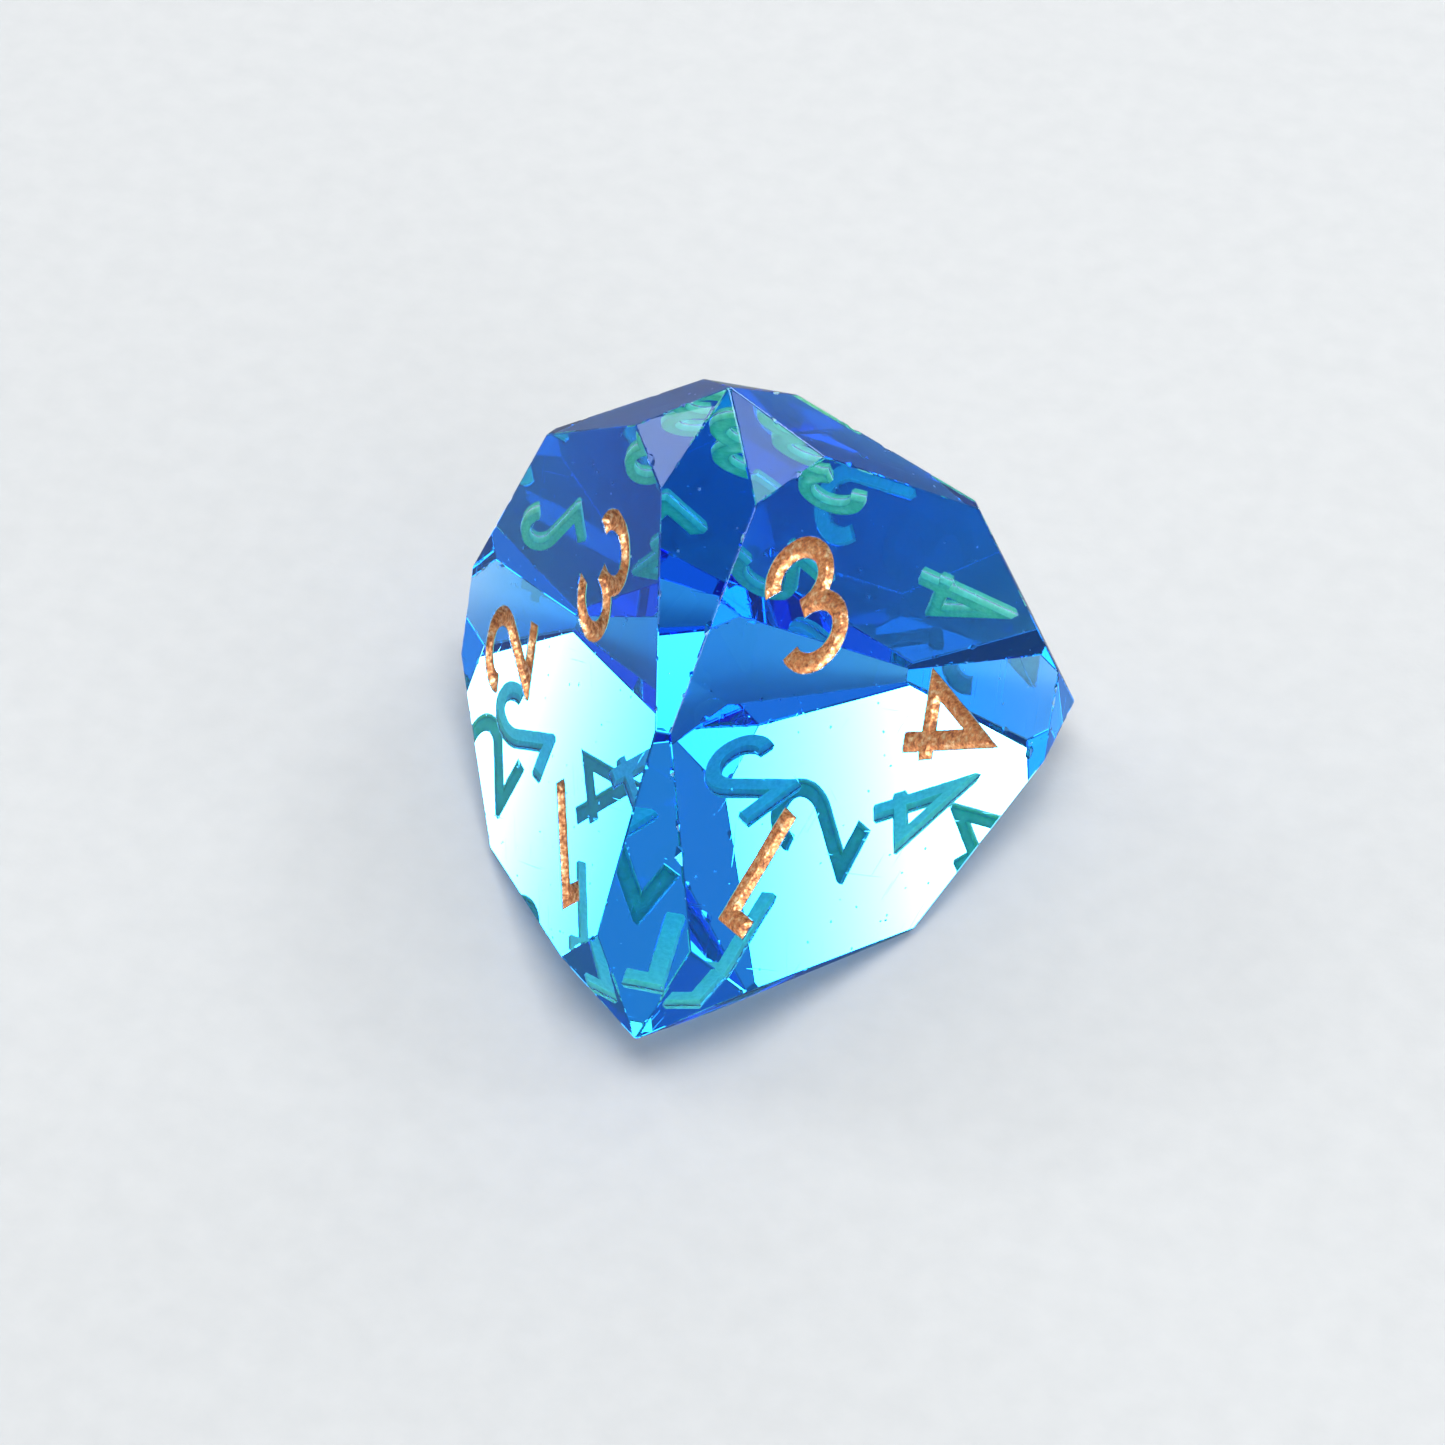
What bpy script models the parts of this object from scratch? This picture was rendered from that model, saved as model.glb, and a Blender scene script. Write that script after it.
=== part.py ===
"""Gem-cut four-sided die: one solid glass body and twelve engraved numerals filled with paint.

The die is a regular tetrahedron cut like a gemstone. It rolls on four large flat faces. Each long
edge of the tetrahedron is ground to two narrow kite facets that meet on a short ridge, and small
corner triangles lie between the kites, so that six facets meet in a sharp point at every tip.
Each large face carries the numbers of its three tips, every numeral standing towards its tip.

Lengths are in metres and +Z is up. The origin is the centre of the face that the die rests on,
the tip numbered 3 points straight up, and the tip numbered 1 points to the front (-Y).
"""
import math

import bmesh
import bpy
from mathutils import Matrix, Vector

MM = 0.001

# --- the glass body ---------------------------------------------------------------------------
TIP_TO_TIP = 20.0 * MM                        # between any two of the four tips
TIP_RADIUS = TIP_TO_TIP * math.sqrt(3 / 8)    # from the middle of the die to a tip
FACE_RADIUS = TIP_RADIUS / 2.136              # from the middle of the die to a large face
KITE_ANGLE = math.radians(40.4)               # between a tip's direction and its kites' normals
CORNER_ANGLE = math.radians(40.6)             # the same for its corner triangles' normals
SNAP = 0.0001 * MM                            # corners this close to a cutting plane lie on it

# Azimuth of the three lower tips; the fourth, numbered 3, points straight up.
LOWER_TIP_AZIMUTH = {"1": -90.0, "4": 30.0, "2": 150.0}

# --- the engraved numerals --------------------------------------------------------------------
STROKE = 0.64 * MM                            # width of a groove
GROOVE_DEPTH = 0.20 * MM
PAINT_RECESS = 0.06 * MM                      # from the face down to the paint
PAINT_GAP = 0.02 * MM                         # left free between the paint and the glass
ARC_STEP = math.radians(12.0)                 # longest step along a round stroke

BOWL_HALF_WIDTH = 1.09 * MM                   # middle of the stroke, in 2 and 3
THREE_HEIGHT = 4.36 * MM
TWO_HEIGHT = 4.20 * MM
FOUR_HEIGHT = 4.28 * MM
ONE_HEIGHT = 3.96 * MM

# Every large face is named for where it looks, with the tip opposite to it. Each numeral has its
# distance from the middle of the face towards its tip, its shift to its own right, both in
# millimetres, and its lean to the right in degrees: the engraving isn't quite centred.
FACES = {
    "front_right": ("2", {"3": (4.70, -0.62, 0), "4": (4.29, -0.26, 0), "1": (5.42, 0.38, 2)}),
    "front_left": ("4", {"3": (4.10, 0.17, 0), "2": (4.52, -0.52, 0), "1": (5.33, 0.38, 2)}),
    "rear": ("1", {"3": (4.40, -0.20, 0), "2": (4.58, -0.20, 0), "4": (5.00, -0.72, 0)}),
    "base": ("3", {"1": (4.87, -0.56, 0), "2": (4.70, -0.10, 0), "4": (4.61, -0.79, 0)}),
}

# --- colours ----------------------------------------------------------------------------------
BLUE_GLASS = (0.02, 0.24, 0.62, 1.0)
COPPER_PAINT = (0.66, 0.33, 0.16, 1.0)


# --- where the tips and facets are ------------------------------------------------------------
def tip_directions():
    """Unit vectors from the middle of the die to its four tips, by number."""
    tips = {"3": Vector((0.0, 0.0, 1.0))}
    out = math.sqrt(8) / 3
    for number, azimuth in LOWER_TIP_AZIMUTH.items():
        angle = math.radians(azimuth)
        tips[number] = Vector((out * math.cos(angle), out * math.sin(angle), -1 / 3))
    return tips


TIPS = tip_directions()
MIDDLE = Vector((0.0, 0.0, FACE_RADIUS))


def tilted(start, towards, angle):
    """The unit vector at an angle from start, in the plane of start and towards."""
    across = (towards - start * towards.dot(start)).normalized()
    return start * math.cos(angle) + across * math.sin(angle)


def facet_planes():
    """Every facet as its outward normal and its distance from the middle of the die."""
    planes = []
    for tip in TIPS.values():
        planes.append((-tip, FACE_RADIUS))
    for number, tip in TIPS.items():
        for other_number, other in TIPS.items():
            if other_number == number:
                continue
            planes.append((tilted(tip, other, KITE_ANGLE), TIP_RADIUS * math.cos(KITE_ANGLE)))
            planes.append((tilted(tip, -other, CORNER_ANGLE), TIP_RADIUS * math.cos(CORNER_ANGLE)))
    return planes


# --- scene helpers ----------------------------------------------------------------------------
def clear_scene():
    for item in list(bpy.data.objects):
        bpy.data.objects.remove(item, do_unlink=True)


def new_collection(name):
    collection = bpy.data.collections.new(name)
    bpy.context.scene.collection.children.link(collection)
    return collection


def new_object(name, data, collection, matrix=None):
    item = bpy.data.objects.new(name, data)
    collection.objects.link(item)
    if matrix is not None:
        item.matrix_world = matrix
    return item


def glass_material():
    material = bpy.data.materials.new("blue_glass")
    material.use_nodes = True
    shader = material.node_tree.nodes["Principled BSDF"]
    shader.inputs["Base Color"].default_value = BLUE_GLASS
    shader.inputs["Roughness"].default_value = 0.02
    shader.inputs["IOR"].default_value = 1.52
    shader.inputs["Transmission Weight"].default_value = 1.0
    return material


def paint_material(name):
    material = bpy.data.materials.new(name)
    material.use_nodes = True
    shader = material.node_tree.nodes["Principled BSDF"]
    shader.inputs["Base Color"].default_value = COPPER_PAINT
    shader.inputs["Metallic"].default_value = 0.8
    shader.inputs["Roughness"].default_value = 0.45
    return material


# --- the glass body ---------------------------------------------------------------------------
def make_gem(collection):
    """Grind a block down to every facet plane in turn."""
    block = bmesh.new()
    bmesh.ops.create_cube(block, size=4 * TIP_RADIUS)
    for normal, distance in facet_planes():
        cut = bmesh.ops.bisect_plane(
            block,
            geom=block.verts[:] + block.edges[:] + block.faces[:],
            dist=SNAP,
            plane_co=normal * distance,
            plane_no=normal,
            clear_outer=True,
        )
        rim = [piece for piece in cut["geom_cut"] if isinstance(piece, bmesh.types.BMEdge)]
        bmesh.ops.edgeloop_fill(block, edges=rim)
    bmesh.ops.translate(block, verts=block.verts, vec=MIDDLE)
    bmesh.ops.recalc_face_normals(block, faces=block.faces)
    mesh = bpy.data.meshes.new("glass_body")
    block.to_mesh(mesh)
    block.free()
    gem = new_object("glass_body", mesh, collection)
    mesh.materials.append(glass_material())
    return gem


# --- outlines of the numerals -----------------------------------------------------------------
# Outlines lie in the numeral's own plane, x to its right and y up, about the middle of its
# height. Outer loops run anticlockwise and holes clockwise, so the stroke is always to the left.
def left_of(direction):
    return Vector((-direction.y, direction.x))


def mitre(before, after):
    """How far a corner moves for each unit that its two sides move to their left."""
    return (left_of(before) + left_of(after)) / (1 + before.dot(after))


def inset(loop, distance):
    """The closed loop with every side moved to its left by a distance."""
    moved = []
    for index, point in enumerate(loop):
        before = (point - loop[index - 1]).normalized()
        after = (loop[(index + 1) % len(loop)] - point).normalized()
        moved.append(point + mitre(before, after) * distance)
    return moved


def thicken(path):
    """The anticlockwise outline of a stroke along an open path, with square ends."""
    sides = [(after - before).normalized() for before, after in zip(path, path[1:])]
    befores = [sides[0]] + sides
    afters = sides + [sides[-1]]
    shifts = [mitre(before, after) * STROKE / 2 for before, after in zip(befores, afters)]
    right = [point - shift for point, shift in zip(path, shifts)]
    left = [point + shift for point, shift in zip(path, shifts)]
    return right + left[::-1]


def arc(centre, half_width, half_height, start, end):
    """Points along an ellipse from one angle to another, in degrees."""
    sweep = math.radians(end - start)
    steps = math.ceil(abs(sweep) / ARC_STEP)
    points = []
    for step in range(steps + 1):
        angle = math.radians(start) + sweep * step / steps
        points.append(centre + Vector((half_width * math.cos(angle), half_height * math.sin(angle))))
    return points


def outline_one():
    """A stem with a short flag to the left of its top."""
    top = ONE_HEIGHT / 2 - STROKE / 2
    stem = 0.34 * MM
    flag = -0.68 * MM
    return [thicken([Vector((stem, -ONE_HEIGHT / 2)), Vector((stem, top)), Vector((flag, top))])]


def along_to_height(point, direction, height):
    """Where the line through a point reaches a height."""
    return point + direction * (height - point.y) / direction.y


def outline_two():
    """A round bowl that runs into a straight neck, with a flat foot."""
    bowl_height = 1.05 * MM
    turn = math.radians(-36)                   # where the bowl becomes the neck
    bowl = Vector((0.0, TWO_HEIGHT / 2 - STROKE / 2 - bowl_height))
    foot_low = -TWO_HEIGHT / 2
    foot_high = foot_low + STROKE
    foot_left = -1.0 * MM
    foot_right = BOWL_HALF_WIDTH + STROKE / 2
    neck = Vector((BOWL_HALF_WIDTH * math.sin(turn), -bowl_height * math.cos(turn))).normalized()
    outer = arc(bowl, BOWL_HALF_WIDTH + STROKE / 2, bowl_height + STROKE / 2, math.degrees(turn), 185)
    inner = arc(bowl, BOWL_HALF_WIDTH - STROKE / 2, bowl_height - STROKE / 2, 185, math.degrees(turn))
    inner_corner = along_to_height(outer[0], neck, foot_high)
    heel = inner[-1] + neck * (foot_left - inner[-1].x) / neck.x
    loop = [Vector((foot_left, foot_low)), Vector((foot_right, foot_low))]
    loop += [Vector((foot_right, foot_high)), inner_corner]
    loop += outer + inner + [heel]
    return [loop]


def outline_three():
    """Two bowls, one above the other, that share a short bar at the waist."""
    bowl_height = (THREE_HEIGHT - STROKE) / 4
    upper = Vector((0.0, bowl_height))
    lower = Vector((0.0, -bowl_height))
    bar_end = -0.22 * MM
    outside = (BOWL_HALF_WIDTH + STROKE / 2, bowl_height + STROKE / 2)
    inside = (BOWL_HALF_WIDTH - STROKE / 2, bowl_height - STROKE / 2)
    notch = math.degrees(math.asin(bowl_height / outside[1]))
    loop = arc(lower, *outside, -172, notch)
    loop += arc(upper, *outside, -notch, 175)[1:]
    loop += arc(upper, *inside, 175, -90)
    loop += [Vector((bar_end, STROKE / 2)), Vector((bar_end, -STROKE / 2))]
    loop += arc(lower, *inside, 90, -172)
    return [loop]


def outline_four():
    """A stem, a crossbar and a diagonal that closes a triangle with them."""
    top = FOUR_HEIGHT / 2
    left = -1.46 * MM
    right = 1.46 * MM
    stem_right = 1.20 * MM
    stem_left = stem_right - STROKE
    bar_low = -1.38 * MM
    bar_high = bar_low + 0.9 * STROKE
    slope = (Vector((stem_right, top)) - Vector((left, bar_low))).normalized()
    rise = slope.y / slope.x
    drop = 0.8 * STROKE / slope.x              # the diagonal's height, measured straight down
    inner_top = top - STROKE * rise - drop
    inner_left = stem_left - (inner_top - bar_high) / rise
    outer = [(left, bar_low), (stem_left, bar_low), (stem_left, -top), (stem_right, -top)]
    outer += [(stem_right, bar_low), (right, bar_low), (right, bar_high), (stem_right, bar_high)]
    outer += [(stem_right, top)]
    hole = [(inner_left, bar_high), (stem_left, inner_top), (stem_left, bar_high)]
    return [[Vector(point) for point in loop] for loop in (outer, hole)]


OUTLINES = {"1": outline_one, "2": outline_two, "3": outline_three, "4": outline_four}


# --- numerals as solids -----------------------------------------------------------------------
def numeral_matrix(opposite, number, place):
    """Stand a numeral on a large face: x to its right, y towards its tip, z out of the glass."""
    forward, shift, lean = place
    normal = -TIPS[opposite]
    up = (TIPS[number] - normal * TIPS[number].dot(normal)).normalized()
    right = up.cross(normal)
    centre = MIDDLE + normal * FACE_RADIUS + up * forward * MM + right * shift * MM
    axes = Matrix((right, up, normal)).transposed().to_4x4()
    return Matrix.Translation(centre) @ axes @ Matrix.Rotation(-math.radians(lean), 4, "Z")


def extruded(name, loops, low, high, matrix, collection):
    """A closed mesh with flat loops as its outline, from low to high along its own z axis."""
    curve = bpy.data.curves.new(name, "CURVE")
    curve.dimensions = "2D"
    curve.fill_mode = "BOTH"
    curve.extrude = (high - low) / 2
    for loop in loops:
        spline = curve.splines.new("POLY")
        spline.points.add(len(loop) - 1)
        spline.use_cyclic_u = True
        for target, point in zip(spline.points, loop):
            target.co = (point.x, point.y, 0.0, 1.0)
    flat = new_object(name + "_curve", curve, collection)
    bpy.context.view_layer.update()
    evaluated = flat.evaluated_get(bpy.context.evaluated_depsgraph_get())
    mesh = bpy.data.meshes.new_from_object(evaluated)
    bpy.data.objects.remove(flat, do_unlink=True)
    mesh.name = name
    solid = bmesh.new()
    solid.from_mesh(mesh)
    bmesh.ops.remove_doubles(solid, verts=solid.verts, dist=SNAP)
    bmesh.ops.translate(solid, verts=solid.verts, vec=(0.0, 0.0, (low + high) / 2))
    bmesh.ops.recalc_face_normals(solid, faces=solid.faces)
    solid.to_mesh(mesh)
    solid.free()
    return new_object(name, mesh, collection, matrix)


def make_groove(gem, name, number, matrix, cutters):
    """Engrave one numeral into the glass."""
    cutter = extruded("cut_" + name, OUTLINES[number](), -GROOVE_DEPTH, GROOVE_DEPTH, matrix, cutters)
    cutter.hide_render = True
    cutter.display_type = "WIRE"
    groove = gem.modifiers.new("groove_" + name, "BOOLEAN")
    groove.operation = "DIFFERENCE"
    groove.solver = "EXACT"
    groove.object = cutter


def make_paint(name, number, matrix, parts):
    """Fill the bottom of one numeral's groove with paint."""
    loops = [inset(loop, PAINT_GAP) for loop in OUTLINES[number]()]
    low = PAINT_GAP - GROOVE_DEPTH
    paint = extruded(name, loops, low, -PAINT_RECESS, matrix, parts)
    paint.data.materials.clear()
    paint.data.materials.append(paint_material(name + "_paint"))


def main():
    clear_scene()
    parts = new_collection("polyhedral_die")
    cutters = new_collection("cutters")
    gem = make_gem(parts)
    for face, (opposite, numerals) in FACES.items():
        for number, place in numerals.items():
            name = "numeral_" + number + "_" + face
            matrix = numeral_matrix(opposite, number, place)
            make_groove(gem, name, number, matrix, cutters)
            make_paint(name, number, matrix, parts)


main()
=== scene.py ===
"""Looks of a gem-cut four-sided die: clear blue glass with copper paint in its engraved numerals.

The glass is ground to the same facets as the frame's glass_body, with narrow polished edges and
small chips where edges have knocked. Every groove has a slightly ragged outline and a thin open
rim. Its paint is bonded to the glass, climbs the groove's walls, is mottled on top, with painted
shade in its pits and painted highlights on its bumps, and lets a little light through.
"""
import math
import random

import bmesh
import bpy
import numpy as np
from mathutils import Matrix, Vector, noise
from mathutils.geometry import delaunay_2d_cdt


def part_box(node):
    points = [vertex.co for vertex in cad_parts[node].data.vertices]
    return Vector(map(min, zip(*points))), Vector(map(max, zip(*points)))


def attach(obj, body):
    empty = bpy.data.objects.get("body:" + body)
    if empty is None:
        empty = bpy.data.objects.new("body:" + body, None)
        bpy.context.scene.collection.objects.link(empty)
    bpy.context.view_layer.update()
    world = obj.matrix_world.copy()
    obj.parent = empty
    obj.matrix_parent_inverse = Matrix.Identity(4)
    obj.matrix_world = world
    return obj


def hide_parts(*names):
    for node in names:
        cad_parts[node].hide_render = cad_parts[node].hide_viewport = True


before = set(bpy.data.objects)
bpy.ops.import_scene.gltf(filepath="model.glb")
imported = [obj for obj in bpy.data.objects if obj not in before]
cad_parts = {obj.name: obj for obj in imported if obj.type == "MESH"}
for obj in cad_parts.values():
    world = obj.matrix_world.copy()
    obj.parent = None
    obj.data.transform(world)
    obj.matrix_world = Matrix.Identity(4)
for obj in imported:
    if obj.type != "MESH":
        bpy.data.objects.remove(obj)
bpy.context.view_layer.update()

MM = 0.001

# --- the die's shape, as in the frame ---------------------------------------------------------
TIP_TO_FACE = 2.136                           # ratio of the tips' and large faces' distances
BOX_LOW, BOX_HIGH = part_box("glass_body")
FACE_RADIUS = (BOX_HIGH.z - BOX_LOW.z) / (1 + TIP_TO_FACE)
TIP_RADIUS = FACE_RADIUS * TIP_TO_FACE
MIDDLE = Vector((0.0, 0.0, BOX_LOW.z + FACE_RADIUS))
KITE_ANGLE = math.radians(40.4)
CORNER_ANGLE = math.radians(40.6)
LOWER_TIP_AZIMUTH = {"1": -90.0, "4": 30.0, "2": 150.0}
SNAP = 0.0001 * MM                            # corners this close to a cutting plane lie on it

# Each large face: the tip opposite to it, and for every numeral its distance from the middle of
# the face towards its tip, its shift to its own right (both in mm) and its lean in degrees.
FACES = {
    "front_right": ("2", {"3": (4.70, -0.62, 0), "4": (4.29, -0.26, 0), "1": (5.42, 0.38, 2)}),
    "front_left": ("4", {"3": (4.10, 0.17, 0), "2": (4.52, -0.52, 0), "1": (5.33, 0.38, 2)}),
    "rear": ("1", {"3": (4.40, -0.20, 0), "2": (4.58, -0.20, 0), "4": (5.00, -0.72, 0)}),
    "base": ("3", {"1": (4.87, -0.56, 0), "2": (4.70, -0.10, 0), "4": (4.61, -0.79, 0)}),
}

# Numerals, all in millimetres.
STROKE = 0.64
BOWL_HALF_WIDTH = 1.09
ONE_HEIGHT = 3.96
TWO_HEIGHT = 4.20
THREE_HEIGHT = 4.36
FOUR_HEIGHT = 4.28
ARC_STEP = math.radians(6.0)

# --- fine detail, in millimetres --------------------------------------------------------------
EDGE_WIDTH = 0.045                            # polished strip along every edge of the glass
SHARP_ANGLE = math.radians(50)                # the paint is smooth round gentler bends
GROOVE_DEPTH = 0.20
WALL_SLOPE = 0.07                             # how far a wall leans in by the groove's floor
RIM_DEPTH = 0.02                              # open chamfer round the mouth of a groove
RIM_FLARE = 0.02
OUTLINE_STEP = 0.07                           # spacing of points along an outline
RAGGED = 0.014                                # how far an outline strays
COARSE_WANDER = 2.1                           # how often it strays in a millimetre, ...
FINE_WANDER = 8.3                             # ... and the same for its finer wander
BOND = 0.008                                  # the paint reaches this far into the glass
WALL_WIDTH = 0.20                             # the paint climbs the walls over this width
PAINT_DIP = 0.16                              # from the face down to the paint's floor
PAINT_GRAIN = 0.024                           # unevenness of the paint's floor
GRAIN_LAYERS = ((2.4, 1.0), (6.1, 0.8), (13.0, 0.5))  # how often it varies in a mm, and how much
GRAIN_STEP = 0.055                            # spacing of points on the paint
CHIP_COUNT = 150
CHIP_SIZE = (0.06, 0.26)
SMALLEST_CHIP = 0.02
CHIP_SPACING = 1.3                            # least distance between chips, in their sizes
CHIP_SHAPE = (1.7, 1.0, 0.9)                  # along the edge, across it and outwards
CHIP_RISE = 0.42                              # a lump's middle above the edge, in its size
CHIP_ROUGHNESS = (0.82, 1.12)                 # each corner of a lump is moved by this factor
CHIP_RANGE = (0.04, 0.96)                     # the part of an edge that has chips

SEED = 20
random.seed(SEED)
noise.seed_set(SEED)


# --- where the tips and facets are ------------------------------------------------------------
def tip_directions():
    """Unit vectors from the middle of the die to its four tips, by number."""
    tips = {"3": Vector((0.0, 0.0, 1.0))}
    out = math.sqrt(8) / 3
    for number, azimuth in LOWER_TIP_AZIMUTH.items():
        angle = math.radians(azimuth)
        tips[number] = Vector((out * math.cos(angle), out * math.sin(angle), -1 / 3))
    return tips


TIPS = tip_directions()


def tilted(start, towards, angle):
    """The unit vector at an angle from start, in the plane of start and towards."""
    across = (towards - start * towards.dot(start)).normalized()
    return start * math.cos(angle) + across * math.sin(angle)


def facet_planes():
    """Every facet as its outward normal and its distance from the middle of the die."""
    planes = []
    for tip in TIPS.values():
        planes.append((-tip, FACE_RADIUS))
    for number, tip in TIPS.items():
        for other_number, other in TIPS.items():
            if other_number == number:
                continue
            planes.append((tilted(tip, other, KITE_ANGLE), TIP_RADIUS * math.cos(KITE_ANGLE)))
            planes.append((tilted(tip, -other, CORNER_ANGLE), TIP_RADIUS * math.cos(CORNER_ANGLE)))
    return planes


# --- helpers ----------------------------------------------------------------------------------
def new_object(name, mesh, matrix=None):
    item = bpy.data.objects.new(name, mesh)
    bpy.context.scene.collection.objects.link(item)
    if matrix is not None:
        item.matrix_world = matrix
    return item


def mesh_from(name, points, faces):
    mesh = bpy.data.meshes.new(name)
    mesh.from_pydata(points, [], faces)
    work = bmesh.new()
    work.from_mesh(mesh)
    bmesh.ops.recalc_face_normals(work, faces=work.faces)
    work.to_mesh(mesh)
    work.free()
    return mesh


def apply_modifiers(item):
    """Bake an object's modifiers into its mesh."""
    bpy.context.view_layer.update()
    evaluated = item.evaluated_get(bpy.context.evaluated_depsgraph_get())
    mesh = bpy.data.meshes.new_from_object(evaluated)
    item.modifiers.clear()
    item.data = mesh


def subtract(item, cutters):
    """Cut meshes out of an object, and remove them."""
    for cutter in cutters:
        cut = item.modifiers.new(cutter.name, "BOOLEAN")
        cut.operation = "DIFFERENCE"
        cut.solver = "MANIFOLD"
        cut.object = cutter
    apply_modifiers(item)
    for cutter in cutters:
        bpy.data.objects.remove(cutter, do_unlink=True)


# --- outlines of the numerals -----------------------------------------------------------------
# Outlines are in millimetres, x to the numeral's right and y up, about the middle of its height.
# Outer loops run anticlockwise and holes clockwise, so the stroke is always to the left.
def left_of(direction):
    return Vector((-direction.y, direction.x))


def mitre(before, after):
    """How far a corner moves for each unit that its two sides move to their left."""
    return (left_of(before) + left_of(after)) / (1 + before.dot(after))


def inset(loop, distance):
    """The closed loop with every side moved to its left by a distance."""
    moved = []
    for index, point in enumerate(loop):
        before = (point - loop[index - 1]).normalized()
        after = (loop[(index + 1) % len(loop)] - point).normalized()
        moved.append(point + mitre(before, after) * distance)
    return moved


def thicken(path):
    """The anticlockwise outline of a stroke along an open path, with square ends."""
    sides = [(after - before).normalized() for before, after in zip(path, path[1:])]
    befores = [sides[0]] + sides
    afters = sides + [sides[-1]]
    shifts = [mitre(before, after) * STROKE / 2 for before, after in zip(befores, afters)]
    right = [point - shift for point, shift in zip(path, shifts)]
    left = [point + shift for point, shift in zip(path, shifts)]
    return right + left[::-1]


def arc(centre, half_width, half_height, start, end):
    """Points along an ellipse from one angle to another, in degrees."""
    sweep = math.radians(end - start)
    steps = math.ceil(abs(sweep) / ARC_STEP)
    points = []
    for step in range(steps + 1):
        angle = math.radians(start) + sweep * step / steps
        spoke = Vector((half_width * math.cos(angle), half_height * math.sin(angle)))
        points.append(centre + spoke)
    return points


def outline_one():
    """A stem with a short flag to the left of its top."""
    top = ONE_HEIGHT / 2 - STROKE / 2
    stem = 0.34
    flag = -0.68
    return [thicken([Vector((stem, -ONE_HEIGHT / 2)), Vector((stem, top)), Vector((flag, top))])]


def outline_two():
    """A round bowl that runs into a straight neck, with a flat foot."""
    bowl_height = 1.05
    turn = math.radians(-36)                   # where the bowl becomes the neck
    bowl = Vector((0.0, TWO_HEIGHT / 2 - STROKE / 2 - bowl_height))
    foot_low = -TWO_HEIGHT / 2
    foot_high = foot_low + STROKE
    foot_left = -1.0
    foot_right = BOWL_HALF_WIDTH + STROKE / 2
    hook_end = 185                             # degrees round the bowl, where the stroke begins
    neck = Vector((BOWL_HALF_WIDTH * math.sin(turn), -bowl_height * math.cos(turn))).normalized()
    outside = (BOWL_HALF_WIDTH + STROKE / 2, bowl_height + STROKE / 2)
    inside = (BOWL_HALF_WIDTH - STROKE / 2, bowl_height - STROKE / 2)
    outer = arc(bowl, *outside, math.degrees(turn), hook_end)
    inner = arc(bowl, *inside, hook_end, math.degrees(turn))
    inner_corner = outer[0] + neck * (foot_high - outer[0].y) / neck.y
    heel = inner[-1] + neck * (foot_left - inner[-1].x) / neck.x
    loop = [Vector((foot_left, foot_low)), Vector((foot_right, foot_low))]
    loop += [Vector((foot_right, foot_high)), inner_corner]
    loop += outer + inner + [heel]
    return [loop]


def outline_three():
    """Two bowls, one above the other, that share a short bar at the waist."""
    bowl_height = (THREE_HEIGHT - STROKE) / 4
    upper = Vector((0.0, bowl_height))
    lower = Vector((0.0, -bowl_height))
    bar_end = -0.22
    upper_hook = 175                           # degrees round each bowl, where the stroke ends
    lower_hook = -172
    outside = (BOWL_HALF_WIDTH + STROKE / 2, bowl_height + STROKE / 2)
    inside = (BOWL_HALF_WIDTH - STROKE / 2, bowl_height - STROKE / 2)
    notch = math.degrees(math.asin(bowl_height / outside[1]))
    loop = arc(lower, *outside, lower_hook, notch)
    loop += arc(upper, *outside, -notch, upper_hook)[1:]
    loop += arc(upper, *inside, upper_hook, -90)
    loop += [Vector((bar_end, STROKE / 2)), Vector((bar_end, -STROKE / 2))]
    loop += arc(lower, *inside, 90, lower_hook)
    return [loop]


def outline_four():
    """A stem, a crossbar and a diagonal that closes a triangle with them."""
    top = FOUR_HEIGHT / 2
    left = -1.46
    right = 1.46
    stem_right = 1.20
    stem_left = stem_right - STROKE
    bar_low = -1.38
    bar_high = bar_low + 0.9 * STROKE          # the bar and the diagonal are a little thinner
    slope = (Vector((stem_right, top)) - Vector((left, bar_low))).normalized()
    rise = slope.y / slope.x
    drop = 0.8 * STROKE / slope.x              # the diagonal's height, measured straight down
    inner_top = top - STROKE * rise - drop
    inner_left = stem_left - (inner_top - bar_high) / rise
    outer = [(left, bar_low), (stem_left, bar_low), (stem_left, -top), (stem_right, -top)]
    outer += [(stem_right, bar_low), (right, bar_low), (right, bar_high), (stem_right, bar_high)]
    outer += [(stem_right, top)]
    hole = [(inner_left, bar_high), (stem_left, inner_top), (stem_left, bar_high)]
    return [[Vector(point) for point in loop] for loop in (outer, hole)]


OUTLINES = {"1": outline_one, "2": outline_two, "3": outline_three, "4": outline_four}


class Outline:
    """A numeral's outline, ready to be moved in or out and roughened the same way each time."""

    def __init__(self, number, key):
        self.loops = OUTLINES[number]()
        self.key = key

    def ragged(self, distance):
        """The loops moved inwards and strayed a little, with points close together."""
        result = []
        for loop in self.loops:
            moved = inset(loop, distance)
            points = []
            for index, start in enumerate(moved):
                end = moved[(index + 1) % len(moved)]
                first = loop[index]
                second = loop[(index + 1) % len(loop)]
                steps = max(1, round((second - first).length / OUTLINE_STEP))
                for step in range(steps):
                    where = first.lerp(second, step / steps)
                    points.append(start.lerp(end, step / steps) + self.stray(where))
            result.append(points)
        return result

    def stray(self, where):
        """A small wander that depends only on the place along the outline."""
        fine_key = self.key + 40               # far from every other outline's key
        fine_share = 0.8
        x, y = where
        coarse = noise.noise_vector(Vector((x * COARSE_WANDER, y * COARSE_WANDER, self.key)))
        fine = noise.noise_vector(Vector((x * FINE_WANDER, y * FINE_WANDER, fine_key)))
        return (coarse.xy + fine.xy * fine_share) * RAGGED


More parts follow.
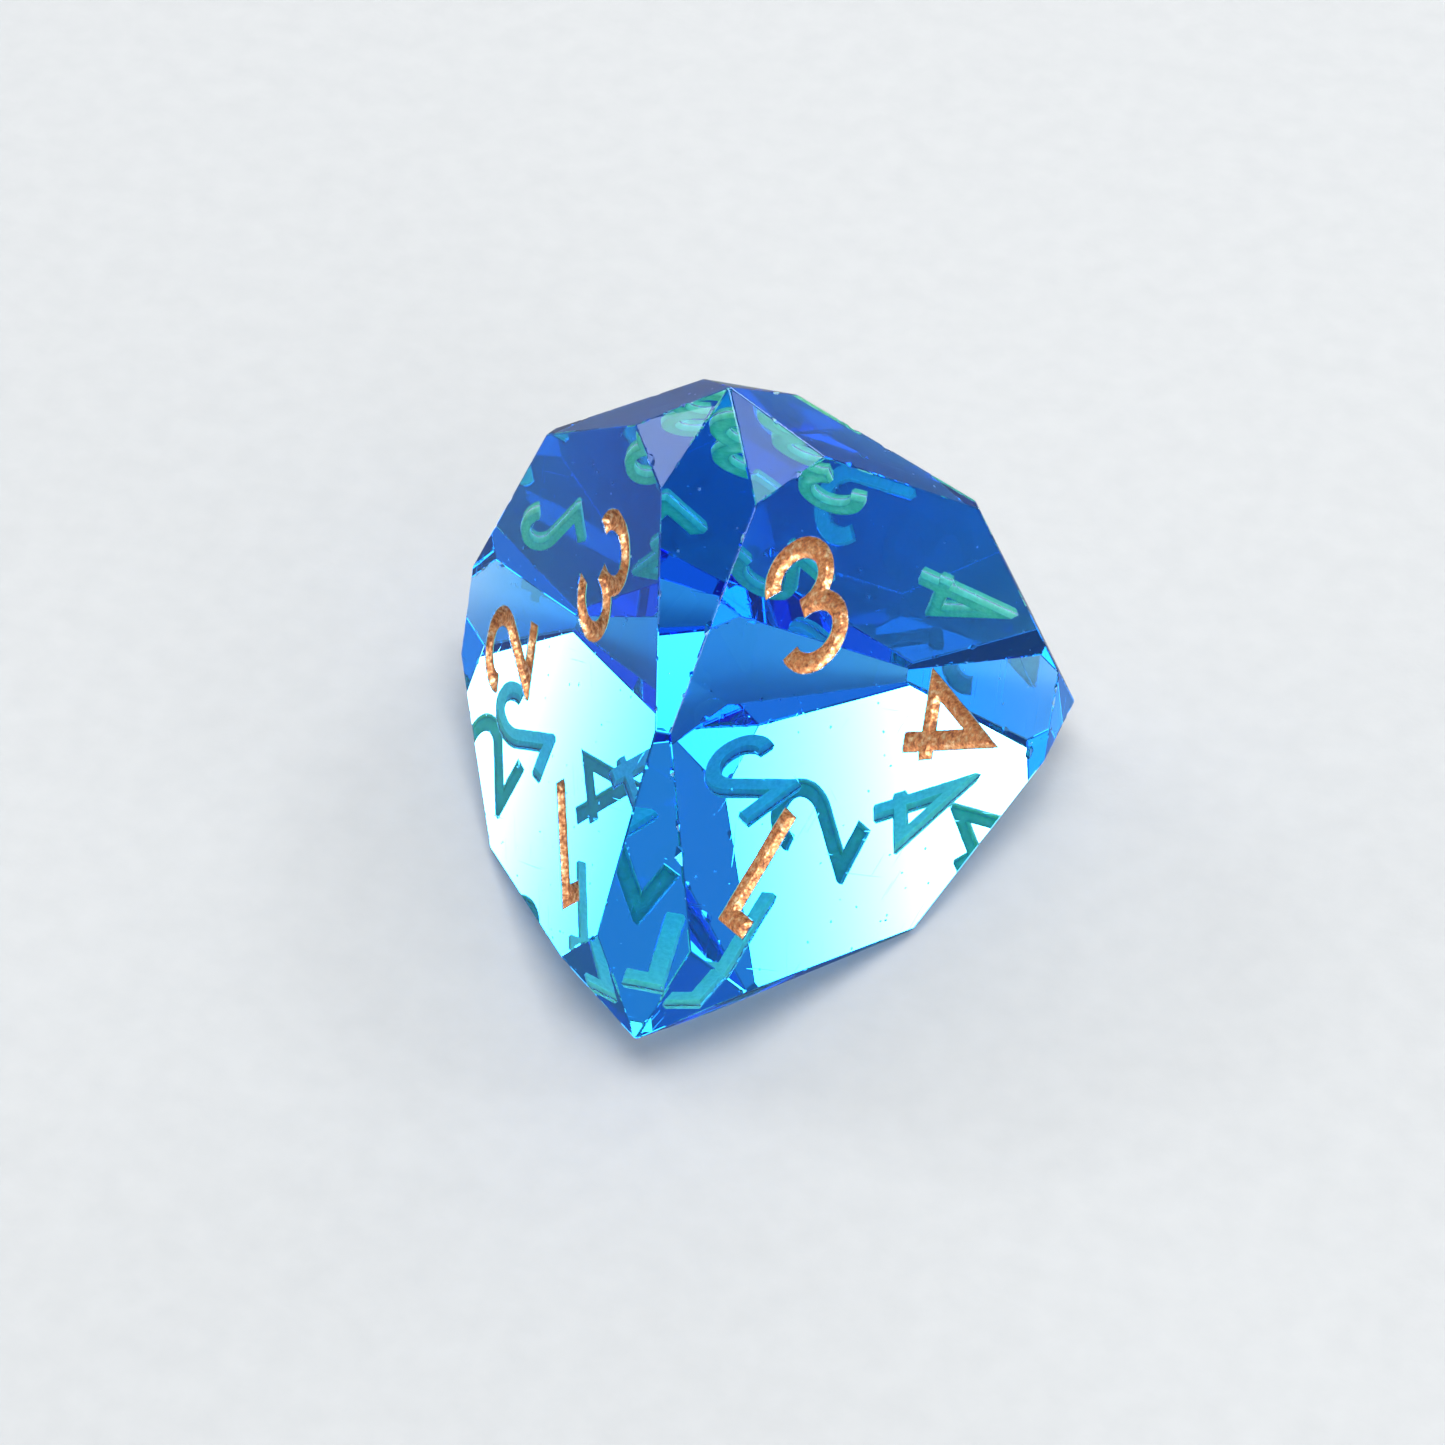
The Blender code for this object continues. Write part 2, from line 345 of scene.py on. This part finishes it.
def inside_loops(points, loops):
    """Which points lie inside the outline, counting holes as outside."""
    inside = np.zeros(len(points), bool)
    for loop in loops:
        starts = np.array(loop)
        ends = np.roll(starts, -1, axis=0)
        for (x1, y1), (x2, y2) in zip(starts, ends):
            crosses = (y1 > points[:, 1]) != (y2 > points[:, 1])
            rise = y2 - y1 if y2 != y1 else 1.0
            at = x1 + (points[:, 1] - y1) * (x2 - x1) / rise
            inside ^= crosses & (points[:, 0] < at)
    return inside


def distance_to_loops(points, loops):
    """Distance from each point to the nearest side of the outline."""
    nearest = np.full(len(points), np.inf)
    for loop in loops:
        starts = np.array(loop)
        sides = np.roll(starts, -1, axis=0) - starts
        lengths = (sides ** 2).sum(1)
        for start, side, length in zip(starts, sides, lengths):
            along = np.clip(((points - start) @ side) / length, 0, 1)
            gap = np.hypot(*(points - start - along[:, None] * side).T)
            nearest = np.minimum(nearest, gap)
    return nearest


def triangulate(loops, extra):
    """Triangles that fill the outline and pass through extra points; the loops come first."""
    as_one = 1e-7                              # points this close together are the same
    points = [tuple(point) for loop in loops for point in loop]
    edges = []
    first = 0
    for loop in loops:
        count = len(loop)
        edges += [(first + index, first + (index + 1) % count) for index in range(count)]
        first += count
    points += [tuple(point) for point in extra]
    vertices, _, faces, sources, _, _ = delaunay_2d_cdt(
        [Vector(point) for point in points], edges, [], 0, as_one
    )
    flat = np.array([tuple(vertex) for vertex in vertices])
    faces = np.array(faces)
    keep = inside_loops(flat[faces].mean(1), loops)
    original = [source[0] for source in sources]
    return points, [[original[corner] for corner in face] for face in faces[keep]]


# --- the glass --------------------------------------------------------------------------------
def make_gem():
    """Grind a block down to every facet plane in turn, then soften the edges."""
    block = bmesh.new()
    bmesh.ops.create_cube(block, size=4 * TIP_RADIUS)
    for normal, distance in facet_planes():
        cut = bmesh.ops.bisect_plane(
            block,
            geom=block.verts[:] + block.edges[:] + block.faces[:],
            dist=SNAP,
            plane_co=normal * distance,
            plane_no=normal,
            clear_outer=True,
        )
        rim = [piece for piece in cut["geom_cut"] if isinstance(piece, bmesh.types.BMEdge)]
        bmesh.ops.edgeloop_fill(block, edges=rim)
    bmesh.ops.translate(block, verts=block.verts, vec=MIDDLE)
    bmesh.ops.recalc_face_normals(block, faces=block.faces)
    ridges = [[vertex.co.copy() for vertex in edge.verts] for edge in block.edges]
    mesh = bpy.data.meshes.new("die_glass")
    block.to_mesh(mesh)
    block.free()
    gem = new_object("die_glass", mesh)
    bevel = gem.modifiers.new("polished_edges", "BEVEL")
    bevel.width = EDGE_WIDTH * MM
    bevel.segments = 2
    bevel.limit_method = "ANGLE"
    bevel.angle_limit = math.radians(2)
    apply_modifiers(gem)
    return gem, ridges


def chip_cutter(ridges):
    """Small faceted lumps spaced along the edges, to knock chips out of them; most are small."""
    lumps = bmesh.new()
    placed = []
    weights = [(end - start).length for start, end in ridges]
    while len(placed) < CHIP_COUNT:
        start, end = random.choices(ridges, weights)[0]
        size = random.uniform(*CHIP_SIZE) * random.random() ** 0.5 * MM + SMALLEST_CHIP * MM
        place = start.lerp(end, random.uniform(*CHIP_RANGE))
        outward = (place - MIDDLE).normalized()
        crowded = (
            (place - other).length < (size + other_size) * CHIP_SPACING
            for other, other_size in placed
        )
        if any(crowded):
            continue
        placed.append((place, size))
        along = (end - start).normalized()
        side = outward.cross(along)
        length, width, height = CHIP_SHAPE
        axes = Matrix((along * length, side * width, outward * height)).transposed().to_4x4()
        centre = place + outward * size * CHIP_RISE
        made = bmesh.ops.create_icosphere(lumps, subdivisions=1, radius=size)
        for vertex in made["verts"]:
            vertex.co *= random.uniform(*CHIP_ROUGHNESS)
            vertex.co = axes @ vertex.co + centre
    mesh = bpy.data.meshes.new("chips")
    lumps.to_mesh(mesh)
    lumps.free()
    return new_object("chips", mesh)


def groove_cutter(name, outline, matrix):
    """The space of an engraved numeral: leaning walls below an open rim."""
    clearance = 0.2                            # the cutter stands this far out of the face
    levels = [                                 # heights, and how far the outline moves inwards
        (-GROOVE_DEPTH, WALL_SLOPE),
        (-RIM_DEPTH, 0.0),
        (0.0, -RIM_FLARE),
        (clearance, -RIM_FLARE),
    ]
    rings = [outline.ragged(distance) for _, distance in levels]
    flat, cap = triangulate(rings[0], [])
    count = len(flat)
    points = []
    for (height, _), ring in zip(levels, rings):
        points += [(point.x * MM, point.y * MM, height * MM) for loop in ring for point in loop]
    faces = [tuple(face) for face in cap]
    lid = (len(levels) - 1) * count
    faces += [tuple(corner + lid for corner in reversed(face)) for face in cap]
    first = 0
    for loop in rings[0]:
        for index in range(len(loop)):
            here = first + index
            there = first + (index + 1) % len(loop)
            for low in range(0, lid, count):
                high = low + count
                faces.append((here + low, there + low, there + high, here + high))
        first += len(loop)
    return new_object(name, mesh_from(name, points, faces), matrix)


def numeral_matrix(opposite, number, place):
    """Stand a numeral on a large face: x to its right, y towards its tip, z out of the glass."""
    forward, shift, lean = place
    normal = -TIPS[opposite]
    up = (TIPS[number] - normal * TIPS[number].dot(normal)).normalized()
    right = up.cross(normal)
    centre = MIDDLE + normal * FACE_RADIUS + up * forward * MM + right * shift * MM
    axes = Matrix((right, up, normal)).transposed().to_4x4()
    return Matrix.Translation(centre) @ axes @ Matrix.Rotation(-math.radians(lean), 4, "Z")


# --- the paint --------------------------------------------------------------------------------
def grain_points(loops):
    """A jittered triangular grid of points well inside the outline."""
    jitter_scale = 31.7
    jitter_size = 0.22                         # in steps of the grid
    margin = 0.55 * GRAIN_STEP
    corners = np.array([point for loop in loops for point in loop])
    low = corners.min(0)
    high = corners.max(0)
    rows = []
    row_step = GRAIN_STEP * math.sqrt(3) / 2
    for row, y in enumerate(np.arange(low[1], high[1], row_step)):
        for x in np.arange(low[0] + (row % 2) * GRAIN_STEP / 2, high[0], GRAIN_STEP):
            spot = Vector((x * jitter_scale, y * jitter_scale, 5.0))
            jitter = noise.noise_vector(spot) * GRAIN_STEP * jitter_size
            rows.append((x + jitter.x, y + jitter.y))
    points = np.array(rows)
    keep = inside_loops(points, loops) & (distance_to_loops(points, loops) > margin)
    return points[keep]


def make_paint(name, outline, matrix, material):
    """Paint that lines one groove: bonded to its walls, dished and mottled on top."""
    dish_power = 1.5                           # above 1, the paint keeps close to the walls
    grain_fade = 1.6                           # the grain is full before the paint is deepest
    loops = outline.ragged(-BOND)
    grain = grain_points(loops)
    flat, top = triangulate(loops, grain)
    floor_loops = outline.ragged(WALL_SLOPE - BOND)
    floor_flat, bottom = triangulate(floor_loops, [])
    places = np.array(flat)
    rim_count = sum(len(loop) for loop in loops)
    depth = np.clip(distance_to_loops(places, loops) / WALL_WIDTH, 0, 1)
    depth[:rim_count] = 0.0
    dish = np.sin(depth * math.pi / 2) ** dish_power
    points = []
    for (x, y), dip in zip(flat, dish):
        spot = Vector((x, y, outline.key))
        lumps = sum(noise.noise(spot * scale) * share for scale, share in GRAIN_LAYERS)
        height = -RIM_DEPTH - (PAINT_DIP - RIM_DEPTH) * dip
        height += lumps * PAINT_GRAIN * min(1, dip * grain_fade)
        points.append((x * MM, y * MM, height * MM))
    floor = len(points)
    low = -(GROOVE_DEPTH + BOND) * MM
    points += [(x * MM, y * MM, low) for x, y in floor_flat]
    faces = [tuple(face) for face in top]
    faces += [tuple(corner + floor for corner in reversed(face)) for face in bottom]
    first = 0
    for loop in loops:
        for index in range(len(loop)):
            here = first + index
            there = first + (index + 1) % len(loop)
            faces.append((here + floor, there + floor, there, here))
        first += len(loop)
    mesh = mesh_from(name, points, faces)
    mesh.shade_smooth()
    mesh.set_sharp_from_angle(angle=SHARP_ANGLE)
    paint = new_object(name, mesh, matrix)
    mesh.materials.append(material)
    return paint


# --- materials --------------------------------------------------------------------------------
class Nodes:
    """Short ways to add and link the nodes of one material."""

    def __init__(self, material):
        self.tree = material.node_tree
        self.shader = self.tree.nodes["Principled BSDF"]
        self.output = self.tree.nodes["Material Output"]
        self.coordinates = self.add("ShaderNodeTexCoord")
        self.place = self.coordinates.outputs["Object"]

    def add(self, kind, **settings):
        node = self.tree.nodes.new(kind)
        for key, value in settings.items():
            setattr(node, key, value)
        return node

    def link(self, source, target):
        self.tree.links.new(source, target)

    def stretched(self, scale, turn):
        """Coordinates squeezed by a scale after a turn, both for each axis."""
        node = self.add("ShaderNodeMapping")
        node.inputs["Scale"].default_value = scale
        node.inputs["Rotation"].default_value = turn
        self.link(self.place, node.inputs["Vector"])
        return node.outputs["Vector"]

    def noise(self, scale, detail, place=None):
        """Blotches that vary so many times in a metre."""
        node = self.add("ShaderNodeTexNoise")
        node.inputs["Scale"].default_value = scale
        node.inputs["Detail"].default_value = detail
        self.link(place or self.place, node.inputs["Vector"])
        return node.outputs["Fac"]

    def remap(self, value, low, high, to_low, to_high):
        """A smooth change from one value to another, as the input goes from low to high."""
        node = self.add("ShaderNodeMapRange", interpolation_type="SMOOTHSTEP")
        node.inputs["From Min"].default_value = low
        node.inputs["From Max"].default_value = high
        node.inputs["To Min"].default_value = to_low
        node.inputs["To Max"].default_value = to_high
        self.link(value, node.inputs["Value"])
        return node.outputs["Result"]

    def maths(self, operation, first, second):
        node = self.add("ShaderNodeMath", operation=operation)
        for source, socket in zip((first, second), node.inputs):
            if isinstance(source, (int, float)):
                socket.default_value = source
            else:
                self.link(source, socket)
        return node.outputs["Value"]

    def ramp(self, value, stops):
        """Colours along a value: a list of (position, colour)."""
        node = self.add("ShaderNodeValToRGB")
        elements = node.color_ramp.elements
        while len(elements) < len(stops):
            elements.new(0.5)
        for element, (position, colour) in zip(elements, stops):
            element.position = position
            element.color = (*colour, 1.0)
        self.link(value, node.inputs["Fac"])
        return node.outputs["Color"]

    def bump(self, height, strength, distance):
        """Let a height stand out from the surface by up to a distance."""
        node = self.add("ShaderNodeBump")
        node.inputs["Strength"].default_value = strength
        node.inputs["Distance"].default_value = distance
        self.link(height, node.inputs["Height"])
        self.link(node.outputs["Normal"], self.shader.inputs["Normal"])


def mix_socket(mix, name):
    """A Mix node has a socket of each name for every data type, and this is the one in use."""
    sockets = mix.outputs if name == "Result" else mix.inputs
    return next(socket for socket in sockets if socket.name == name and socket.enabled)


def new_material(name):
    material = bpy.data.materials.new(name)
    material.use_nodes = True
    return material, Nodes(material)


def glass_material():
    """Clear glass that swallows red and some green, with faint smears and hairline scratches."""
    material, nodes = new_material("blue_glass")
    shader = nodes.shader.inputs
    shader["Base Color"].default_value = (0.97, 0.99, 1.0, 1.0)
    shader["Transmission Weight"].default_value = 1.0
    shader["IOR"].default_value = 1.52
    shader["Specular Tint"].default_value = (0.60, 0.80, 1.0, 1.0)
    smears = nodes.remap(nodes.noise(420.0, detail=4.0), 0.5, 0.75, 0.0, 0.03)
    specks = nodes.add("ShaderNodeTexVoronoi")
    specks.inputs["Scale"].default_value = 1700.0
    nodes.link(nodes.place, specks.inputs["Vector"])
    dust = nodes.remap(specks.outputs["Distance"], 0.06, 0.09, 1.0, 0.0)
    dusty = nodes.remap(nodes.noise(1100.0, detail=1.0), 0.56, 0.60, 0.0, 1.0)
    dust = nodes.maths("MULTIPLY", dust, dusty)
    nodes.link(nodes.maths("ADD", smears, nodes.maths("MULTIPLY", dust, 0.5)), shader["Roughness"])
    scratches = nodes.noise(1.0, 1.0, nodes.stretched((9000.0, 260.0, 260.0), (0.4, 0.3, 0.9)))
    crossing = nodes.noise(1.0, 1.0, nodes.stretched((240.0, 8000.0, 240.0), (0.8, 0.2, 0.5)))
    lines = nodes.maths(
        "ADD",
        nodes.remap(scratches, 0.70, 0.76, 0.0, 1.0),
        nodes.remap(crossing, 0.72, 0.78, 0.0, 1.0),
    )
    cuts = nodes.maths("MULTIPLY", lines, -0.10)
    grit = nodes.maths("MULTIPLY", dust, 0.8)
    waves = nodes.maths("MULTIPLY", nodes.noise(300.0, detail=1.0), 0.2)
    relief = nodes.maths("ADD", waves, nodes.maths("ADD", cuts, grit))
    nodes.bump(relief, strength=0.4, distance=0.01 * MM)
    absorb = nodes.add("ShaderNodeVolumeAbsorption")
    absorb.inputs["Color"].default_value = (0.0, 0.70, 0.99, 1.0)
    absorb.inputs["Density"].default_value = 200.0
    nodes.link(absorb.outputs["Volume"], nodes.output.inputs["Volume"])
    return material


def paint_material():
    """Copper paint: mottled on its open side, where painted shade darkens its pits and painted
    highlights brighten its bumps; even where it meets the glass, and thin enough
    for some light to soak through.
    """
    material, nodes = new_material("copper_paint")
    shader = nodes.shader.inputs
    split = nodes.add("ShaderNodeSeparateXYZ")
    nodes.link(nodes.coordinates.outputs["Normal"], split.inputs["Vector"])
    bonded = nodes.remap(split.outputs["Z"], 0.05, 0.25, 1.0, 0.0)
    mottle = nodes.noise(5600.0, detail=3.0)
    flecks = nodes.noise(15000.0, detail=2.0)
    mottle_part = nodes.maths("MULTIPLY", mottle, 0.7)
    fleck_part = nodes.maths("MULTIPLY", flecks, 0.3)
    mixed = nodes.maths("ADD", mottle_part, fleck_part)
    # Painted light: the darkest stop is painted shade in the pits of the bump and the brightest is
    # a painted cream highlight on its tops; the stops between are the copper's own mottle.
    mottle_shade_and_highlight_colours = [
        (0.36, (0.12, 0.035, 0.012)),
        (0.45, (0.36, 0.13, 0.045)),
        (0.54, (0.65, 0.31, 0.13)),
        (0.66, (1.0, 0.72, 0.45)),
    ]
    bonded_colours = [(0.3, (0.36, 0.78, 0.38)), (0.7, (0.46, 0.92, 0.50))]
    blend = nodes.add("ShaderNodeMix", data_type="RGBA")
    nodes.link(bonded, mix_socket(blend, "Factor"))
    nodes.link(nodes.ramp(mixed, mottle_shade_and_highlight_colours), mix_socket(blend, "A"))
    nodes.link(nodes.ramp(mottle, bonded_colours), mix_socket(blend, "B"))
    nodes.link(mix_socket(blend, "Result"), shader["Base Color"])
    open_metal = nodes.remap(mixed, 0.38, 0.55, 0.35, 0.80)
    open_side = nodes.maths("SUBTRACT", 1.0, bonded)
    nodes.link(nodes.maths("MULTIPLY", open_metal, open_side), shader["Metallic"])
    nodes.link(nodes.remap(mixed, 0.36, 0.62, 0.60, 0.28), shader["Roughness"])
    shader["Subsurface Weight"].default_value = 0.85
    shader["Subsurface Radius"].default_value = (1.0, 1.0, 0.8)
    shader["Subsurface Scale"].default_value = 0.13 * MM
    nodes.bump(mixed, strength=0.6, distance=0.03 * MM)
    return material


def floor_material():
    """Pale, matt card. In mirror reflections its colour is painted dark grey, painted shade that
    dims its reflections as a polarising filter would.
    """
    material, nodes = new_material("pale_card")
    shader = nodes.shader.inputs
    grain = nodes.noise(900.0, detail=4.0)
    card = nodes.ramp(grain, [(0.3, (0.25, 0.258, 0.264)), (0.7, (0.262, 0.27, 0.276))])
    path = nodes.add("ShaderNodeLightPath")
    mirror_painted_dark = nodes.add("ShaderNodeMix", data_type="RGBA")
    glossy = path.outputs["Is Glossy Ray"]
    reflected = path.outputs["Is Reflection Ray"]
    mirrored = nodes.maths("MULTIPLY", glossy, reflected)
    nodes.link(mirrored, mix_socket(mirror_painted_dark, "Factor"))
    nodes.link(card, mix_socket(mirror_painted_dark, "A"))
    # Painted shade: the dark grey that the floor shows only in mirror reflections.
    mix_socket(mirror_painted_dark, "B").default_value = (0.07, 0.075, 0.08, 1.0)
    nodes.link(mix_socket(mirror_painted_dark, "Result"), shader["Base Color"])
    shader["Roughness"].default_value = 0.85
    shader["Specular IOR Level"].default_value = 0.15
    nodes.bump(nodes.noise(2600.0, detail=2.0), strength=0.15, distance=0.05 * MM)
    return material


# --- assembly ---------------------------------------------------------------------------------
def build_die():
    gem, ridges = make_gem()
    paint = paint_material()
    cutters = [chip_cutter(ridges)]
    key = 0.0
    key_step = 7.3                             # every numeral strays in its own way
    for face, (opposite, numerals) in FACES.items():
        for number, place in numerals.items():
            key += key_step
            name = number + "_" + face
            outline = Outline(number, key)
            matrix = numeral_matrix(opposite, number, place)
            cutters.append(groove_cutter("groove_" + name, outline, matrix))
            piece = make_paint("paint_" + name, outline, matrix, paint)
            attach(piece, "root")
            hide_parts("numeral_" + name)
    subtract(gem, cutters)
    gem.data.materials.clear()
    gem.data.materials.append(glass_material())
    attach(gem, "root")
    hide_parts("glass_body")


# --- floor, lights and camera -----------------------------------------------------------------
FLOOR_SIZE = 3.0                              # metres
FLOOR_GAP = 0.02 * MM                         # keeps the floor just clear of the die
LIGHT_DISTANCE = 0.6                          # metres
WORLD_FRONT = 0.16                            # strength of the even light before the die
WORLD_BACK = 0.30                             # and behind it

CAMERA_AZIMUTH = -90 + 14.98                  # degrees
CAMERA_ELEVATION = 45.8
CAMERA_DISTANCE = 136.8                       # mm
CAMERA_ROLL = -0.46
CAMERA_LENS = 108.9                           # mm, on a sensor 36 mm wide
AIM = (-0.03, -0.97, 4.83)                    # mm, the point in the middle of the view

# Soft panels round the die: azimuth, elevation, width and height in degrees, and brightness.
PANELS = {
    "left_panel": (180, 24, 36, 22, 4.0),
    "left_core": (160, 43.5, 15, 8, 20.0),
    "right_panel": (14, 39, 24, 14, 4.5),
    "right_core": (42, 51, 15, 8, 20.0),
    "rear_panel": (125, 62.5, 42, 10, 4.5),
    "rear_low_panel": (108, 47, 18, 14, 0.4),
    "back_panel": (85, 24, 60, 24, 6.0),
    "side_panel": (-150, 21, 28, 32, 1.9),
    "front_panel": (-38, 26, 46, 40, 5.5),
    "front_dim_panel": (-82, 36, 30, 26, 0.6),
    "top_panel": (-60, 84, 40, 40, 10.0),
}


def direction(azimuth, elevation):
    """Unit vector at an azimuth from +X and an elevation, in degrees."""
    turn = math.radians(azimuth)
    rise = math.radians(elevation)
    level = math.cos(rise)
    return Vector((level * math.cos(turn), level * math.sin(turn), math.sin(rise)))


def make_floor():
    bpy.ops.mesh.primitive_plane_add(size=FLOOR_SIZE, location=(0.0, 0.0, -FLOOR_GAP))
    floor = bpy.context.object
    floor.name = "floor"
    floor.data.materials.append(floor_material())


def make_world():
    """Dim, even light that is stronger behind the die than in front."""
    world = bpy.data.worlds.new("studio")
    world.use_nodes = True
    tree = world.node_tree
    background = tree.nodes["Background"]
    background.inputs["Color"].default_value = (0.95, 0.97, 1.0, 1.0)
    place = tree.nodes.new("ShaderNodeTexCoord")
    split = tree.nodes.new("ShaderNodeSeparateXYZ")
    fade = tree.nodes.new("ShaderNodeMapRange")
    fade.inputs["From Min"].default_value = -0.5
    fade.inputs["From Max"].default_value = 0.4
    fade.inputs["To Min"].default_value = WORLD_FRONT
    fade.inputs["To Max"].default_value = WORLD_BACK
    tree.links.new(place.outputs["Generated"], split.inputs["Vector"])
    tree.links.new(split.outputs["Y"], fade.inputs["Value"])
    tree.links.new(fade.outputs["Result"], background.inputs["Strength"])
    bpy.context.scene.world = world


def make_panels():
    for name, (azimuth, elevation, width, height, brightness) in PANELS.items():
        panel = bpy.data.lights.new(name, "AREA")
        panel.shape = "RECTANGLE"
        panel.size = 2 * LIGHT_DISTANCE * math.tan(math.radians(width / 2))
        panel.size_y = 2 * LIGHT_DISTANCE * math.tan(math.radians(height / 2))
        panel.energy = brightness * math.pi * panel.size * panel.size_y
        lamp = bpy.data.objects.new(name, panel)
        bpy.context.scene.collection.objects.link(lamp)
        away = direction(azimuth, elevation)
        lamp.location = away * LIGHT_DISTANCE
        lamp.rotation_euler = (-away).to_track_quat("-Z", "Y").to_euler()
        lamp.visible_camera = False


def make_camera():
    """A long lens from the front, a little to the right and half way up."""
    camera = bpy.data.cameras.new("camera")
    camera.lens = CAMERA_LENS
    camera.sensor_width = 36.0
    camera.clip_start = 0.01
    back = direction(CAMERA_AZIMUTH, CAMERA_ELEVATION)
    place = Vector(AIM) * MM + back * CAMERA_DISTANCE * MM
    view = back.to_track_quat("Z", "Y").to_matrix().to_4x4()
    roll = Matrix.Rotation(math.radians(CAMERA_ROLL), 4, "Z")
    item = bpy.data.objects.new("camera", camera)
    bpy.context.scene.collection.objects.link(item)
    item.matrix_world = Matrix.Translation(place) @ view @ roll
    bpy.context.scene.camera = item


def set_light_paths():
    """A cut gem needs many inner reflections before a ray leaves it."""
    scene = bpy.context.scene
    scene.cycles.max_bounces = 32
    scene.cycles.glossy_bounces = 24
    scene.cycles.transmission_bounces = 32
    scene.view_settings.view_transform = "Standard"


build_die()
make_floor()
make_world()
make_panels()
make_camera()
set_light_paths()

bpy.context.view_layer.update()
